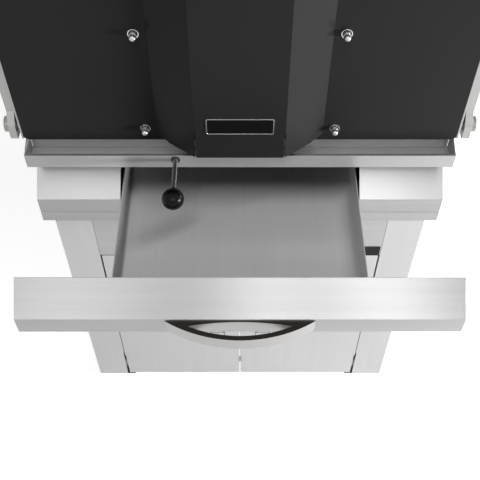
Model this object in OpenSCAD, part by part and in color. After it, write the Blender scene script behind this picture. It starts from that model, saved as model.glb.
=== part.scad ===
// Floor-standing bread slicer on a two-door cabinet.
// +Z is up, the operator stands on the -Y side, and the floor is z = 0.
// Every module is written from the front plane of the cabinet (y = 0) and
// placed() then moves it, so that the middle of the whole part is the origin.

/* [Cabinet] */
// Width over the cabinet sides
cab_w = 658; // [560:2:690]
// Depth of the cabinet
cab_d = 580; // [480:5:595]
// Height of the cabinet top above the floor
cab_h = 581; // [520:1:640]
// Sheet thickness of the cabinet and housings
sheet = 2; // [1.5:0.5:3]
// Width of the two front stiles
stile_w = 65; // [50:1:80]
// Depth of the flange behind each stile
stile_return = 22; // [18:1:40]
// Height of the fixed fascia above the doors
fascia_h = 105; // [80:1:140]
// Height of the levelling feet under the sheet
foot_h = 4; // [3:1:10]
// Radius of a foot pad
foot_r = 17; // [12:1:20]
// Height of the cabinet floor above the ground
floor_z = 42; // [34:1:70]
// Height of the middle shelf above the ground
shelf_z = 270; // [200:5:380]

/* [Doors] */
// Depth of the folded door pan
door_d = 18; // [14:1:22]
// Sheet thickness of a door
door_sheet = 1.5; // [1:0.5:2]
// Gap between door and stile
door_gap = 3; // [2:0.5:4]
// Gap between the two doors
door_seam = 2; // [1:0.5:4]
// Gap above and below the doors
door_end_gap = 2; // [1.5:0.5:4]
// Radius of the hinge pins
pin_r = 2.5; // [2:0.25:3]
// Distance of the hinge pin behind the door face
pin_y = 5.5; // [5:0.25:6.5]
// Bottom of the notch that shows the door catch
catch_z = 62; // [50:1:120]
// Distance of the hinge pin from the door edge
pin_x = 6; // [5:0.25:6.5]
// Height of the trimmed lower corner beside the hinge
trim_corner_h = 80; // [40:5:120]
// Width of the trimmed lower corner
trim_corner_w = 2; // [1:0.25:2]
// Width of a finger pull
pull_w = 24; // [18:1:30]
// Height of a finger pull
pull_h = 70; // [50:5:90]
// Top of the finger pulls above the floor
pull_top = 197; // [170:1:300]
// Inner edge of a finger pull from the door seam
pull_x = 37; // [30:1:60]
// Radial clearance of pins, rods and bolts
fit = 0.05; // [0.02:0.01:0.1]

/* [Base housing] */
// Width of the base housing
base_w = 700; // [694:1:704]
// Depth of the base housing
base_d = 600; // [590:5:640]
// Height of its plain lower strip
strip_h = 22; // [14:1:30]
// How far the lower strip stands proud
strip_proud = 0.8; // [0.4:0.1:1.2]
// Height of its vertical front face
face_h = 56; // [50:1:62]
// Depth of its sloping front
slope_run = 78; // [70:1:90]
// Slope of the front, degrees
slope_deg = 37.3; // [34:0.1:38]
// Height from the slope top to the top plate
slope_cap = 1.6; // [1:0.1:4]

/* [Drawer] */
// How far the drawer stands open at rest
drawer_out = 226; // [120:1:300]
// Outer width of the drawer box
drawer_w = 398; // [360:1:404]
// Length of the drawer box
drawer_l = 480; // [400:5:500]
// Height of the drawer box
drawer_h = 60; // [50:1:64]
// Height of the drawer bottom above the housing bottom
drawer_lift = 27; // [26:1:30]
// Sheet thickness of the drawer
drawer_sheet = 1.5; // [1:0.25:2]
// Bend radius between the drawer's bottom and sides
drawer_bend = 14; // [6:1:20]
// Side clearance of the drawer in its opening
drawer_side_gap = 7; // [4:0.5:9]
// Width of the drawer front
front_w = 696; // [690:1:700]
// How far the closed front stands before the housing
front_stand = 16; // [14:0.5:20]
// Height of the front's vertical face
front_face_h = 36; // [33:1:38]
// Depth of the front's sloping face
front_run = 51.7; // [45:0.5:56]
// Gap between the closed front and the housing
front_gap = 2; // [1:0.5:3]
// Length of the bow handle
handle_l = 234; // [200:1:260]
// How far the bow handle stands off
handle_proj = 34.6; // [30:0.2:40]
// Height of the bow handle
handle_h = 25; // [18:1:28]
// Thickness of the bow at its middle
handle_t = 8; // [6:0.5:10]
// Thickness of the strip behind the finger gap
handle_back = 2; // [1.5:0.5:3]
// Width of the finger gap in the bow handle
handle_gap_w = 161; // [130:1:180]
// Distance of the gap's corners from the front
handle_gap_y = 9.5; // [8:0.5:12]

/* [Crumb trough] */
// Front face of the lip behind the cabinet front
lip_y = 2.7; // [2:0.1:5]
// Height of the lip
lip_h = 27; // [22:1:30]
// Underside of the lip above the floor
lip_z = 716; // [712:1:722]
// Depth of the lip's rolled top edge
lip_hem = 5; // [3:0.5:7]
// Sheet thickness of the trough
trough_sheet = 1.5; // [1:0.25:2]
// Depth of the trough below the lip
trough_drop = 16; // [12:1:17]
// Height of the trough's rear flange on the wall
trough_back_h = 16; // [12:1:20]
// How far the trough's ends rise over the lip
trough_end_up = 12; // [8:1:12]

/* [Upper housing] */
// Width of the upper housing
upper_w = 712; // [706:1:716]
// Front wall of the upper housing behind the cabinet front
wall_y = 50; // [48:1:56]
// Bottom of the wide part above the floor
skirt_z = 756; // [750:1:764]
// Top of the upper housing above the floor
upper_top = 1080; // [1076:1:1120]
// Inset of the narrow collar under the wide part
collar_in = 8; // [6:1:12]
// Width of the rear service opening
service_w = 500; // [400:10:600]
// Height of the rear service opening
service_h = 240; // [200:10:270]
// Thickness of the top deck
deck_t = 3; // [2:0.5:5]

/* [Black covers] */
// Width of the front cover
cover_w = 700; // [690:1:704]
// Distance from the wall to the back of the front cover
cover_stand = 22; // [18:1:26]
// Lower edge of the front cover above the floor
cover_z = 757; // [754:1:762]
// Radius of the lower corners of the front cover
cover_corner = 8; // [5:1:15]
// Depth of the fold at the sides of the front cover
cover_fold = 9; // [6:1:14]
// Width of the raised cover at its base
bulge_base_w = 266; // [240:1:280]
// Width of the raised cover's front face
bulge_face_w = 141; // [120:1:160]
// How far the raised cover stands out
bulge_proj = 39; // [34:1:46]
// Rise of the raised cover's lower edge towards its base
bulge_rise = 9; // [4:1:14]
// Rounding at the base of its lower edge
bulge_round = 11; // [6:1:12]
// Height of the bend relief slits at its lower front corners
slit_h = 50; // [30:1:60]
// Width of the relief slits
slit_w = 1.6; // [1:0.1:2.4]
// Half the distance between the cover studs
stud_x = 151; // [146:1:170]
// Height of the lower studs above the cover's edge
stud_low = 26; // [20:1:32]
// Distance between the lower and upper studs
stud_rise = 185; // [150:1:220]
// Radius of the cover studs
stud_r = 4.2; // [3:0.1:5]
// How far the stud ends stand out
stud_proj = 9.5; // [6:0.5:14]
// Radius of the stud washers
washer_r = 8.1; // [7:0.1:9]
// Thickness of the stud washers
washer_t = 1.8; // [1:0.1:2.5]
// Radius of the tubes behind the front cover
spacer_r = 8; // [6.5:0.5:10]

/* [Release rod] */
// Sideways place of the release rod
rod_x = -105; // [-130:1:-90]
// Height of the rod above the lip's underside
rod_up = 17.8; // [14:0.2:20]
// Radius of the rod
rod_r = 4; // [3:0.25:5]
// Distance of the ball's middle before the lip
rod_reach = 84; // [70:1:100]
// Radius of the ball knob
ball_r = 17.5; // [14:0.5:20]
// Radius of the guide bush in the lip
bush_r = 6; // [5:0.25:6.5]
// Radius and thickness of the bush's flange
bush_flange = [7.5, 1];
// Width, thickness and height of the rod's finger behind the lip
finger = [12, 3, 21];

/* [Pusher] */
// Pivot of the arms behind the wall's front face
pivot_y = 2; // [0:1:8]
// Pivot of the arms above the skirt of the upper housing
pivot_up = 11; // [10:1:14]
// Thickness of the arms
arm_t = 12; // [10:0.5:12]
// Gap between the upper housing and the arms
arm_gap = 5.5; // [4:0.5:8]
// Width of the arm bars
arm_w = 40; // [30:1:46]
// How far the arms reach over the deck
arm_over = 120; // [112:1:130]
// How far the arms' lower ends reach below the pivot
hub_drop = 15; // [14:1:18]
// How far the arms' lower ends reach before the pivot
hub_fore = 21; // [18:1:26]
// Radius of the pivot bolts
bolt_r = 8; // [6:0.5:9]
// Radius of the pivot bolt heads
bolt_head_r = 13; // [11:0.5:14]
// Height of the pivot bolt heads
bolt_head_h = 9; // [6:0.5:11]
// Height of the cross bar above the deck
bar_over = 92; // [88:1:95]
// Radius of the cross bar
bar_r = 14; // [12:0.5:15]
// Height of the pusher plate
plate_h = 88; // [70:1:92]
// Bottom of the pusher plate above the deck
plate_over = 29; // [27:1:36]
// Thickness of the pusher plate
plate_t = 5; // [4:0.5:6]
// Number of tines on the pusher plate
tines = 14; // [8:2:20]
// Length of the tines
tine_l = 16; // [10:1:18]
// Thickness of the tines
tine_t = 6; // [4:0.5:10]
// Length of the hand grip
grip_l = 260; // [200:5:320]
// Radius of the hand grip
grip_r = 13; // [11:0.5:16]
// How far the grip stands before the cross bar
grip_out = 52; // [46:1:70]

/* [Blades] */
// Blades in the front frame
blades = 16; // [8:1:16]
// Distance between the slices' cuts
slice = 12.7; // [10:0.1:12.9]
// Thickness of a blade
blade_t = 1; // [0.6:0.1:1.4]
// Depth of a blade from its teeth to its back
blade_d = 12; // [10:1:13]
// Middle of the front blades behind the wall's front face
blade_y = 150; // [146:1:160]
// Distance between the two blade frames
frame_gap = 30; // [24:1:36]
// Half the stroke of the blade frames
stroke = 15; // [8:1:15]
// Radius of the frames' guide rods
guide_r = 7; // [6:0.5:8]
// Half the distance between the front frame's guide rods
guide_x = 232; // [230:1:236]
// How much further out the rear frame's guide rods are
guide_step = 30; // [26:1:34]
// Height and depth of the frames' cross bars
frame_bar = [14, 20];
// Height of the free blades
blade_h = 220; // [210:1:230]
// Middle height of the lower cross bars under the deck
frame_drop = 34; // [34:1:44]
// Radius of the push rods
push_r = 6; // [5:0.5:7]
// Length of the push rods under the lower cross bars
push_l = 71; // [66:1:76]

/* [Blade towers] */
// Half the width of the slicing opening
throat_x = 210; // [206:1:212]
// Width of a tower
tower_w = 90; // [84:1:100]
// Depth of a tower
tower_d = 90; // [84:1:100]
// Height of a tower above the deck
tower_h = 174; // [170:1:176]
// Height of the hood above the towers
hood_h = 72; // [66:1:90]
// Height of a guide block
block_h = 24; // [18:1:30]
// Height of the bread fences
fence_h = 46; // [30:1:50]

/* [Drive] */
// Size of the crank case
crank_box = [120, 92, 80];
// Height of the input shaft above the crank case bottom
shaft_up = 35; // [30:1:40]
// Radius of the input shaft
shaft_r = 10; // [8:0.5:12]
// Radius of the large pulley
pulley_r = 75; // [65:1:80]
// Radius of the motor pulley
motor_pulley_r = 30; // [24:1:34]
// Width of both pulleys
pulley_w = 22; // [18:1:26]
// Distance of the pulleys behind the wall
pulley_back = 10; // [8:1:20]
// Distance between the two shafts
shaft_centres = 135; // [130:1:140]
// Radius of the motor
motor_r = 62; // [54:1:64]
// Length of the motor
motor_l = 185; // [150:1:200]
// Thickness of the belt
belt_t = 4; // [3:0.5:6]

/* [Controls] */
// Size of the switch box
switch_size = [20, 70, 110];
// Height of the switch box above the skirt
switch_up = 140; // [100:5:190]
// Distance of the switch box from the rear
switch_back = 90; // [60:5:140]
// Radius of the buttons
button_r = 11; // [9:0.5:14]
// Height of the buttons above the box
button_h = 6; // [5:0.5:9]
// Length of the cable gland
gland_l = 18; // [12:1:24]

/* [Hidden] */
$fn = 48;
CLEAR = 0.3;    // gap between pieces of different bodies
EPS = 1;        // how far a cut runs past a face

// Colours
STEEL = [0.78, 0.78, 0.77];
STEEL_DARK = [0.55, 0.55, 0.55];
BLACK = [0.13, 0.13, 0.13];
RUBBER = [0.08, 0.08, 0.08];
BRONZE = [0.66, 0.5, 0.3];
GREEN = [0.1, 0.5, 0.2];
RED = [0.7, 0.1, 0.1];

// Places that several pieces share
open_x = cab_w / 2 - stile_w;
door_x = open_x - door_gap;
door_z0 = foot_h + 3 + door_end_gap;
door_z1 = cab_h - fascia_h - door_end_gap;
hinge_x = door_x - pin_x;
pin_head_r = pin_y - sheet - CLEAR;
bracket_t = 3;
floor_back = 4;     // floor pan and shelf behind the stiles' inner edges
shelf_back = 40;
catch_h = 22;
slope_rise = slope_run * tan(slope_deg);
base_top = cab_h + face_h + slope_rise + slope_cap;
drawer_z = cab_h + drawer_lift;
drawer_open_x = drawer_w / 2 + drawer_side_gap;
drawer_open_top = drawer_z + drawer_h + 4;
front_z0 = cab_h + strip_h - 2;
front_top = front_z0 + front_face_h + front_run * tan(slope_deg);
box_y = front_run - front_stand;
trough_z = lip_z - trough_drop;
deck_top = upper_top + deck_t;
cover_y = wall_y - cover_stand - sheet;
cover_top = upper_top - 5;
rod_z = lip_z + rod_up;
ball_y = lip_y - rod_reach;
bush_end = lip_y + lip_hem + trough_sheet;
pivot_z = skirt_z + pivot_up;
boss_r = bolt_r + 4;
arm_x = upper_w / 2 + arm_gap;
arm_piv_y = wall_y + pivot_y;
bar_y = arm_piv_y + 15;
bar_z = deck_top + bar_over;
plate_y = bar_y + bar_r;
front_blade_y = wall_y + blade_y;
rear_blade_y = front_blade_y + frame_gap;
throat_mid_y = (front_blade_y + rear_blade_y) / 2;
low_bar_z = upper_top - frame_drop;
tower_top = deck_top + tower_h;
crank_top = low_bar_z - frame_bar[1] / 2 - stroke - 11;
crank_z = crank_top - crank_box[2];
shaft_z = crank_z + shaft_up;
motor_z = shaft_z - shaft_centres;
pulley_y = wall_y + sheet + pulley_back;
switch_y = base_d - switch_back - switch_size[1];
switch_z = skirt_z + switch_up;

// The origin is the middle of the whole part, drawer out
front_reach = drawer_out + front_stand + handle_proj;
centre_y = (front_reach - base_d - gland_l) / 2;

// ---- Helpers ----
module placed() {
    translate([0, centre_y, 0]) children();
}

// A block from one corner to the other
module block(a, b) {
    translate(a) cube(b - a);
}

// The same shape on the left and on the right
module both_sides() {
    children();
    mirror([1, 0, 0]) children();
}

// A rod along X, Y or Z from a point
module rod_along_x(p, r, l) {
    translate(p) rotate([0, 90, 0]) cylinder(r = r, h = l);
}

module rod_along_y(p, r, l) {
    translate(p) rotate([-90, 0, 0]) cylinder(r = r, h = l);
}

module rod_along_z(p, r, l) {
    translate(p) cylinder(r = r, h = l);
}

// A profile in Y and Z made into a bar of width w about x = 0
module across(w) {
    rotate([90, 0, 90]) translate([0, 0, -w / 2]) linear_extrude(w) children();
}

// Sheet metal folded along a line of points, t thick on its left side
function normal(a, b) = let (d = b - a, l = norm(d)) [-d[1] / l, d[0] / l];
function mitre(p, i) =
    i == 0 ? normal(p[0], p[1]) :
    i == len(p) - 1 ? normal(p[i - 1], p[i]) :
    let (m = normal(p[i - 1], p[i]), n = normal(p[i], p[i + 1])) (m + n) / (1 + m * n);

module folded(p, t) {
    inner = [for (i = [0:len(p) - 1]) p[i] + t * mitre(p, i)];
    polygon(concat(p, [for (i = [len(p) - 1:-1:0]) inner[i]]));
}

// A rectangle whose two lower corners are round
module round_bottom(w, h, r) {
    translate([-w / 2, r]) square([w, h - r]);
    translate([-w / 2 + r, 0]) square([w - 2 * r, r]);
    for (s = [-1, 1])
        translate([s * (w / 2 - r), r]) circle(r);
}

// ---- Cabinet ----
module cabinet_side() {
    x0 = open_x;
    x1 = cab_w / 2;
    block([x1 - sheet, 0, foot_h], [x1, cab_d, cab_h - sheet]);
    block([x0, 0, foot_h], [x1, sheet, cab_h - sheet]);
    block([x0, 0, foot_h], [x0 + sheet, stile_return, cab_h - sheet]);
    // ledges that carry the floor and the shelf
    for (p = [[floor_z, floor_back], [shelf_z, shelf_back]])
        block([x1 - 26, stile_return + p[1] + sheet, p[0] - 2 * sheet],
              [x1, cab_d - 2 * sheet, p[0] - sheet]);
}

module cabinet_side_right() {
    color(STEEL) placed() cabinet_side();
}

module cabinet_side_left() {
    color(STEEL) placed() mirror([1, 0, 0]) cabinet_side();
}

module cabinet_back() {
    x = cab_w / 2 - sheet;
    color(STEEL) placed() block([-x, cab_d - sheet, foot_h], [x, cab_d, cab_h - sheet]);
}

module cabinet_fascia() {
    z0 = cab_h - fascia_h;
    z1 = cab_h - sheet;
    color(STEEL) placed() difference() {
        across(2 * open_x)
            folded([[stile_return, z0], [0, z0], [0, z1]], -sheet);
        both_sides()
            rod_along_z([hinge_x, pin_y, z0 - EPS], pin_r + fit, sheet + 2 * EPS);
    }
}

module cabinet_top() {
    x = cab_w / 2;
    color(STEEL) placed() block([-x, 0, cab_h - sheet], [x, cab_d, cab_h]);
}

// Floor pan with a turned-down front edge, on the side ledges
module cabinet_floor() {
    w = cab_w - 2 * sheet;
    y0 = stile_return + floor_back;
    color(STEEL) placed() difference() {
        across(w)
            folded([[y0, floor_z - 20], [y0, floor_z], [cab_d - sheet, floor_z]], -sheet);
        foot_places()
            cylinder(r = 6 + fit, h = 2 * floor_z);
    }
}

module cabinet_shelf() {
    w = cab_w - 2 * sheet;
    y0 = stile_return + shelf_back;
    color(STEEL) placed() across(w)
        folded([[y0, shelf_z - 16], [y0, shelf_z], [cab_d - sheet, shelf_z]], -sheet);
}

module foot_places() {
    for (x = [-1, 1], y = [stile_return + 30, cab_d - 40])
        translate([x * (cab_w / 2 - 60), y, 0]) children();
}

// Pad, stem and the nut that carries the floor pan
module levelling_feet() {
    color(RUBBER) placed() foot_places() {
        cylinder(r1 = foot_r, r2 = foot_r - 1, h = foot_h);
        cylinder(r = 6, h = floor_z + 6);
        translate([0, 0, floor_z - sheet - 8]) cylinder(r = 10, h = 8, $fn = 6);
    }
}

// ---- Doors ----
// Angles on the stiles that carry the lower pins
module hinge_brackets() {
    color(STEEL_DARK) placed() both_sides()
        block([hinge_x - 9, 0, foot_h], [open_x, stile_return - 2, foot_h + bracket_t]);
}

module hinge_pins() {
    z_top = cab_h - fascia_h;
    color(STEEL_DARK) placed() both_sides() {
        rod_along_z([hinge_x, pin_y, foot_h + bracket_t], pin_r, door_end_gap + 5);
        rod_along_z([hinge_x, pin_y, door_z1 - 5], pin_r, 5 + door_end_gap + sheet);
        rod_along_z([hinge_x, pin_y, z_top + sheet], pin_head_r, 2);
    }
}

module door() {
    x0 = door_seam / 2;
    x1 = door_x;
    difference() {
        block([x0, 0, door_z0], [x1, door_d, door_z1]);
        block([x0 + door_sheet, door_sheet, door_z0 + door_sheet],
              [x1 - door_sheet - trim_corner_w, door_d + EPS, door_z1 - door_sheet]);
        // trimmed lower corner beside the hinge
        block([x1 - trim_corner_w, -EPS, door_z0 - EPS],
              [x1 + EPS, door_d + EPS, door_z0 + trim_corner_h]);
        for (z = [door_z0, door_z1 - door_sheet])
            rod_along_z([hinge_x, pin_y, z - EPS], pin_r + fit, door_sheet + 2 * EPS);
        // notch that shows the catch
        block([x0 - EPS, -EPS, catch_z], [x0 + 2, door_sheet + EPS, catch_z + catch_h]);
        // slot behind the finger pull
        block([pull_x + 4, -EPS, pull_top - pull_h + 6],
              [pull_x + pull_w - 4, door_sheet + EPS, pull_top - 6]);
    }
}

module door_right() {
    color(STEEL) placed() door();
}

module door_left() {
    color(STEEL) placed() mirror([1, 0, 0]) door();
}

// A flanged finger cup let into the door
module door_pull() {
    z0 = pull_top - pull_h;
    t = 1.2;
    difference() {
        union() {
            block([pull_x, -t, z0], [pull_x + pull_w, 0, pull_top]);
            block([pull_x + 4 + CLEAR, -t, z0 + 6 + CLEAR],
                  [pull_x + pull_w - 4 - CLEAR, 12, pull_top - 6 - CLEAR]);
        }
        block([pull_x + 6, -t - EPS, z0 + 8], [pull_x + pull_w - 6, 12 - t, pull_top - 8]);
    }
}

module door_pull_right() {
    color(STEEL) placed() door_pull();
}

module door_pull_left() {
    color(STEEL) placed() mirror([1, 0, 0]) door_pull();
}

// Magnetic catch on a post at the middle of the floor pan
module door_catch() {
    color(RUBBER) placed() {
        y0 = door_d + CLEAR;
        y1 = stile_return + floor_back;
        block([-14, y0, catch_z - 4], [14, y0 + 10, catch_z + catch_h + 4]);
        block([-14, y1, floor_z], [14, y1 + sheet, catch_z + catch_h + 4]);
        block([-14, y1, floor_z], [14, y1 + 26, floor_z + sheet]);
        block([-14, y0 + 9, catch_z], [14, y1 + 1, catch_z + catch_h]);
    }
}

// ---- Base housing ----
module base_profile(t) {
    z0 = cab_h;
    z1 = cab_h + face_h;
    folded([[base_d, z0], [0, z0], [0, z1], [slope_run, z1 + slope_rise],
            [slope_run + slope_cap, base_top], [base_d, base_top]], -t);
}

module base_housing() {
    z1 = cab_h + face_h;
    color(STEEL) placed() difference() {
        union() {
            across(base_w - 2 * sheet) base_profile(sheet);
            both_sides()
                translate([base_w / 2 - sheet / 2, 0, 0]) across(sheet)
                    polygon([[base_d, cab_h], [0, cab_h], [0, z1],
                             [slope_run, z1 + slope_rise],
                             [slope_run + slope_cap, base_top], [base_d, base_top]]);
            block([-base_w / 2, base_d - sheet, cab_h], [base_w / 2, base_d, base_top]);
            block([-base_w / 2, -strip_proud, cab_h],
                  [base_w / 2, 0, cab_h + strip_h]);
        }
        block([-drawer_open_x, -10, drawer_z - 2 - CLEAR],
              [drawer_open_x, slope_run, drawer_open_top]);
    }
}

// Two angles that the drawer bottom slides on
module drawer_rails() {
    x0 = drawer_w / 2 - 24;
    x1 = drawer_w / 2 + 2;
    z1 = drawer_z - CLEAR;
    color(STEEL_DARK) placed() both_sides() {
        block([x0, sheet, cab_h + sheet], [x0 + 2, base_d - 40, z1 - 2]);
        block([x0, sheet, z1 - 2], [x1 + 2, base_d - 40, z1]);
        block([x1, sheet + 1, z1], [x1 + 2, base_d - 40, z1 + 20]);
    }
}

// ---- Drawer, drawn where it stands open ----
module drawn_out() {
    placed() translate([0, -drawer_out, 0]) children();
}

module drawer_box() {
    t = drawer_sheet;
    color(STEEL) drawn_out() difference() {
        translate([0, box_y + drawer_l, drawer_z]) rotate([90, 0, 0])
            linear_extrude(drawer_l) round_bottom(drawer_w, drawer_h, drawer_bend);
        translate([0, box_y + drawer_l - t, drawer_z + t]) rotate([90, 0, 0])
            linear_extrude(drawer_l - 2 * t)
                round_bottom(drawer_w - 2 * t, drawer_h, drawer_bend - t);
    }
}

// Folded front: vertical face, slope and short returns, closed at its ends
module drawer_front() {
    t = sheet;
    y0 = -front_stand;
    z1 = front_z0 + front_face_h;
    y1 = -front_stand + front_run;
    back = front_gap / cos(slope_deg);
    z_back = cab_h + face_h + back;
    outer = [[-front_gap, front_z0], [y0, front_z0], [y0, z1], [y1, front_top],
             [y1, z_back + y1 * tan(slope_deg)], [-front_gap, z_back - front_gap * tan(slope_deg)]];
    color(STEEL) drawn_out() {
        across(front_w - 2 * t)
            folded([outer[0], outer[1], outer[2], outer[3], outer[4]], -t);
        both_sides()
            translate([front_w / 2 - t / 2, 0, 0]) across(t) polygon(outer);
    }
}

// Crescent handle cut from an arc, with a lens-shaped finger gap
module drawer_handle() {
    y0 = -front_stand;
    z0 = front_z0 + front_face_h - 4 - handle_h;
    half = handle_l / 2;
    gap_half = handle_gap_w / 2;
    outer_r = (half * half + handle_proj * handle_proj) / (2 * handle_proj);
    in_sag = handle_proj - handle_t - handle_gap_y;
    inner_r = (gap_half * gap_half + in_sag * in_sag) / (2 * in_sag);
    back_sag = handle_gap_y - handle_back;
    back_r = (gap_half * gap_half + back_sag * back_sag) / (2 * back_sag);
    color(STEEL_DARK) drawn_out() translate([0, y0, z0]) linear_extrude(handle_h)
        difference() {
            intersection() {
                translate([0, outer_r - handle_proj]) circle(outer_r, $fn = 160);
                translate([-handle_l, -2 * handle_proj])
                    square([2 * handle_l, 2 * handle_proj]);
            }
            intersection() {
                translate([0, inner_r - in_sag - handle_gap_y]) circle(inner_r, $fn = 160);
                translate([0, -handle_gap_y - back_r + back_sag]) circle(back_r, $fn = 160);
            }
        }
}

// ---- Crumb trough ----
module crumb_trough() {
    t = trough_sheet;
    y0 = lip_y;
    z1 = lip_z + lip_h;
    z2 = trough_z + trough_back_h;
    y2 = y0 + trough_drop + 4;
    path = [[y0 + lip_hem, z1 - 6], [y0 + lip_hem, z1], [y0, z1], [y0, lip_z],
            [y2, trough_z], [wall_y, trough_z], [wall_y, z2]];
    side = [[y0, z1], [y0, lip_z], [y2, trough_z], [wall_y, trough_z],
            [wall_y, z1 + trough_end_up]];
    color(STEEL) placed() difference() {
        union() {
            across(base_w - 2 * t) folded(path, t);
            both_sides()
                translate([base_w / 2 - t / 2, 0, 0]) across(t) polygon(side);
        }
        rod_along_y([rod_x, y0 - EPS, rod_z], bush_r, bush_end - y0 + 2 * EPS);
    }
}

// ---- Upper housing ----
module upper_housing() {
    x1 = upper_w / 2;
    x2 = x1 - collar_in;
    y1 = base_d;
    service_z = skirt_z + 30;
    color(STEEL) placed() difference() {
        union() {
            // narrow collar on the base, then the wide part
            block([-x2, wall_y, base_top], [x2, y1, skirt_z + sheet]);
            block([-x1, wall_y, skirt_z], [x1, y1, upper_top]);
            both_sides()
                rod_along_x([x1 - EPS, arm_piv_y, pivot_z], boss_r, arm_gap - CLEAR + EPS);
        }
        block([-x2 + sheet, wall_y + sheet, base_top - EPS],
              [x2 - sheet, y1 - sheet, skirt_z + sheet + EPS]);
        block([-x1 + sheet, wall_y + sheet, skirt_z + sheet],
              [x1 - sheet, y1 - sheet, upper_top + EPS]);
        block([-service_w / 2, y1 - 2 * sheet, service_z],
              [service_w / 2, y1 + EPS, service_z + service_h]);
        both_sides()
            rod_along_x([x1, arm_piv_y, pivot_z], bolt_r + fit, arm_gap + EPS);
        stud_places()
            rod_along_y([0, -EPS, 0], stud_r + fit, sheet + 2 * EPS);
        rod_along_x([x1 - 10, switch_y + switch_size[1] / 2, switch_z + 30], 8, 20);
    }
}

// ---- Black covers ----
module stud_places() {
    for (s = [-1, 1], z = [0, stud_rise])
        translate([s * stud_x, wall_y, cover_z + stud_low + z]) children();
}

module front_cover() {
    x1 = cover_w / 2;
    r = cover_corner;
    color(BLACK) placed() difference() {
        union() {
            translate([0, cover_y + sheet, cover_z]) rotate([90, 0, 0])
                linear_extrude(sheet) round_bottom(cover_w, cover_top - cover_z, r);
            both_sides()
                block([x1 - sheet, cover_y, cover_z + r], [x1, cover_y + cover_fold, cover_top]);
        }
        stud_places()
            rod_along_y([0, -cover_stand - 2 * sheet, 0], stud_r + fit, 3 * sheet);
    }
}

// Outline of the raised cover seen from above, s inside its outer face
module bulge_plan(s) {
    b = bulge_base_w / 2;
    f = bulge_face_w / 2;
    slant = (b - f) / bulge_proj;
    side_in = s * sqrt(1 + slant * slant);
    front_in = side_in - s * slant;
    polygon([[-b + side_in, 0], [-f + front_in, -bulge_proj + s],
             [f - front_in, -bulge_proj + s], [b - side_in, 0]]);
}

module centre_cover() {
    h = cover_top - cover_z;
    drop = 2;
    color(BLACK) placed() translate([0, cover_y, cover_z]) intersection() {
        difference() {
            translate([0, 0, -drop]) linear_extrude(h + drop) bulge_plan(0);
            translate([0, EPS, -drop - EPS]) linear_extrude(h + drop - sheet + EPS)
                bulge_plan(sheet);
            translate([0, 0, -drop - EPS]) linear_extrude(h + drop - sheet + EPS)
                bulge_plan(sheet);
            for (x = [-bulge_face_w / 2, bulge_face_w / 2])
                block([x - slit_w / 2, -bulge_proj - EPS, -drop - EPS],
                      [x + slit_w / 2, -bulge_proj + 2 * sheet, slit_h]);
        }
        across(bulge_base_w + 2) difference() {
            polygon([[-bulge_proj - EPS, -drop], [-bulge_proj, -drop], [0, bulge_rise - drop],
                     [0, h], [-bulge_proj - EPS, h]]);
            translate([0, bulge_rise - drop]) difference() {
                translate([-bulge_round, -bulge_rise]) square([bulge_round + EPS, bulge_round + bulge_rise]);
                translate([-bulge_round, bulge_round]) circle(bulge_round);
                translate([-bulge_round - EPS, bulge_round / 2 - bulge_round])
                    square([EPS, bulge_round]);
            }
        }
    }
}

module cover_studs() {
    color(STEEL) placed() stud_places() {
        translate([0, -cover_stand - sheet - stud_proj, 0]) sphere(stud_r);
        rod_along_y([0, -cover_stand - sheet - stud_proj, 0], stud_r,
                    cover_stand + sheet + stud_proj + sheet + 8);
        rod_along_y([0, sheet, 0], stud_r + 3, 6);
    }
}

module cover_spacers() {
    color(STEEL_DARK) placed() stud_places() difference() {
        rod_along_y([0, -cover_stand, 0], spacer_r, cover_stand);
        rod_along_y([0, -cover_stand - EPS, 0], stud_r + fit, cover_stand + 2 * EPS);
    }
}

module cover_washers() {
    color(STEEL) placed() stud_places() difference() {
        rod_along_y([0, -cover_stand - sheet - washer_t, 0], washer_r, washer_t);
        rod_along_y([0, -cover_stand - sheet - washer_t - EPS, 0], stud_r + fit,
                    washer_t + 2 * EPS);
    }
}

// ---- Release rod ----
// The rod with the finger that it pushes back behind the lip
module release_rod() {
    y1 = bush_end + CLEAR;
    z1 = rod_z + 2;
    color(STEEL) placed() {
        rod_along_y([rod_x, ball_y, rod_z], rod_r, y1 + finger[1] - ball_y);
        block([rod_x - finger[0] / 2, y1, z1 - finger[2]],
              [rod_x + finger[0] / 2, y1 + finger[1], z1]);
    }
}

module ball_knob() {
    color(BLACK) placed() difference() {
        union() {
            translate([rod_x, ball_y, rod_z]) sphere(ball_r);
            rod_along_y([rod_x, ball_y, rod_z], 7, ball_r + 1);
        }
        rod_along_y([rod_x, ball_y, rod_z], rod_r, ball_r + 3);
    }
}

module rod_guide() {
    y0 = lip_y - bush_flange[1];
    color(BRONZE) placed() difference() {
        union() {
            rod_along_y([rod_x, y0, rod_z], bush_flange[0], bush_flange[1]);
            rod_along_y([rod_x, y0, rod_z], bush_r, bush_end - y0);
        }
        rod_along_y([rod_x, y0 - EPS, rod_z], rod_r + fit, bush_end - y0 + 2 * EPS);
    }
}

// ---- Pusher ----
module pivot_bolts() {
    x1 = arm_x + arm_t + CLEAR;
    color(STEEL) placed() both_sides() {
        rod_along_x([upper_w / 2, arm_piv_y, pivot_z], bolt_r, x1 - upper_w / 2 + EPS);
        rod_along_x([x1, arm_piv_y, pivot_z], bolt_head_r, bolt_head_h);
    }
}

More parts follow.
